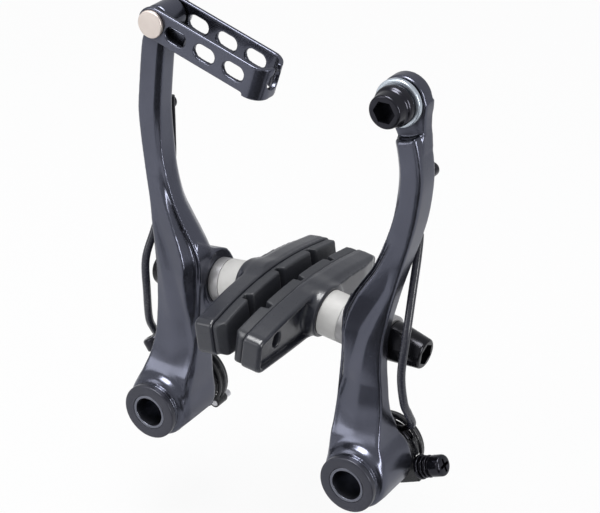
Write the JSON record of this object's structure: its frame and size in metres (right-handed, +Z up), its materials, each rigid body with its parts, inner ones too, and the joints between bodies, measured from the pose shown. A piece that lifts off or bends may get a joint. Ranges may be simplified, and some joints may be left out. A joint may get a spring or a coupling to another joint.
{
  "type": "linear-pull rim brake",
  "caption": "Linear-pull bicycle rim brake: curved forged arms on post bushes, slotted cable link, cable bolt, shoes on domed washers and return springs.",
  "frame": {"origin": "midway between the two pivot axes, in the plane of the front faces of the pivot bushes", "axes": "+X from the left arm to the right arm, +Y along the posts from the bush faces to the bicycle frame, +Z up along the arms"},
  "size_m": [0.0914, 0.055, 0.1158],
  "materials": {
    "arm": "satin dark blue-grey paint on forged aluminium",
    "pivot_bush": "dark phosphated steel",
    "front_collar": "satin dark blue-grey paint",
    "spring_holder": "black glass-filled polymer",
    "anchor_pin": "bright steel",
    "return_spring": "black oxidised spring steel",
    "spring_sleeve": "dark grey polymer tube",
    "hook_pin": "black oxidised steel",
    "tension_screw": "black plated steel",
    "shoe_holder": "matt dark grey moulding",
    "friction_block": "matt dark grey rubber",
    "shoe_stud": "zinc plated steel",
    "inner_dome_washer": "satin silver plating",
    "inner_cup_washer": "satin silver plating, greyer",
    "outer_cup_washer": "satin silver plating",
    "outer_dome_washer": "satin silver plating",
    "shoe_nut": "glossy black plated steel",
    "cable_link": "satin dark blue-grey paint on steel sheet",
    "link_pin": "champagne nickel plating",
    "link_pin_clip": "zinc plated spring steel",
    "cable_bolt": "glossy black plated steel",
    "clamp_washer": "bluish white zinc"
  },
  "bodies": {
    "post_fittings": {"left_pivot_bush": "pivot_bush", "right_pivot_bush": "pivot_bush", "left_front_collar": "front_collar", "right_front_collar": "front_collar", "left_spring_holder": "spring_holder", "right_spring_holder": "spring_holder", "left_anchor_pin": "anchor_pin", "right_anchor_pin": "anchor_pin", "left_return_spring": "return_spring", "right_return_spring": "return_spring", "left_spring_sleeve": "spring_sleeve", "right_spring_sleeve": "spring_sleeve"},
    "left_arm": {"left_arm": "arm", "left_hook_pin": "hook_pin", "link_pin": "link_pin", "link_pin_clip": "link_pin_clip"},
    "left_slot_washers": {"left_inner_cup_washer": "inner_cup_washer", "left_outer_cup_washer": "outer_cup_washer"},
    "left_shoe": {"left_shoe_holder": "shoe_holder", "left_friction_block": "friction_block", "left_shoe_stud": "shoe_stud", "left_inner_dome_washer": "inner_dome_washer", "left_outer_dome_washer": "outer_dome_washer", "left_shoe_nut": "shoe_nut"},
    "left_tension_screw": {"left_tension_screw": "tension_screw"},
    "right_arm": {"right_arm": "arm", "right_hook_pin": "hook_pin", "cable_bolt": "cable_bolt", "clamp_washer": "clamp_washer"},
    "right_slot_washers": {"right_inner_cup_washer": "inner_cup_washer", "right_outer_cup_washer": "outer_cup_washer"},
    "right_shoe": {"right_shoe_holder": "shoe_holder", "right_friction_block": "friction_block", "right_shoe_stud": "shoe_stud", "right_inner_dome_washer": "inner_dome_washer", "right_outer_dome_washer": "outer_dome_washer", "right_shoe_nut": "shoe_nut"},
    "right_tension_screw": {"right_tension_screw": "tension_screw"},
    "link": {"cable_link": "cable_link"}
  },
  "joints": [
    {"name": "left_arm_pivot", "type": "hinge", "parent": "post_fittings", "child": "left_arm", "pos_m": [-0.03, 0, 0], "axis": [0, -1, 0], "range_deg": [0, 25], "deforming": ["left_return_spring", "left_spring_sleeve"]},
    {"name": "right_arm_pivot", "type": "hinge", "parent": "post_fittings", "child": "right_arm", "pos_m": [0.03, 0, 0], "axis": [0, 1, 0], "range_deg": [0, 25], "deforming": ["right_return_spring", "right_spring_sleeve"]},
    {"name": "link_swing", "type": "hinge", "parent": "left_arm", "child": "link", "pos_m": [-0.03446, 0.01765, 0.10295], "axis": [0, 1, 0], "range_deg": [-70, 55]},
    {"name": "left_shoe_height", "type": "slide", "parent": "left_arm", "child": "left_slot_washers", "axis": [-0.134, 0, 0.991], "range_m": [-0.0015, 0.0015]},
    {"name": "left_shoe_swivel", "type": "hinge", "parent": "left_slot_washers", "child": "left_shoe", "pos_m": [-0.0219, 0.0206, 0.0326], "axis": [-0.991, 0, -0.134], "range_deg": [-6, 6]},
    {"name": "right_shoe_height", "type": "slide", "parent": "right_arm", "child": "right_slot_washers", "axis": [0.1097, 0, 0.994], "range_m": [-0.0015, 0.0015]},
    {"name": "right_shoe_swivel", "type": "hinge", "parent": "right_slot_washers", "child": "right_shoe", "pos_m": [0.0211, 0.0206, 0.03239], "axis": [0.994, 0, -0.1097], "range_deg": [-6, 6]},
    {"name": "left_tension_screw_turn", "type": "hinge", "parent": "post_fittings", "child": "left_tension_screw", "pos_m": [-0.03963, 0.0206, 0.00232], "axis": [-0.5807, 0, 0.8141], "range_deg": [-360, 360]},
    {"name": "right_tension_screw_turn", "type": "hinge", "parent": "post_fittings", "child": "right_tension_screw", "pos_m": [0.0395, 0.0206, -0.0028], "axis": [0.91, 0, 0.4147], "range_deg": [-360, 360]}
  ]
}
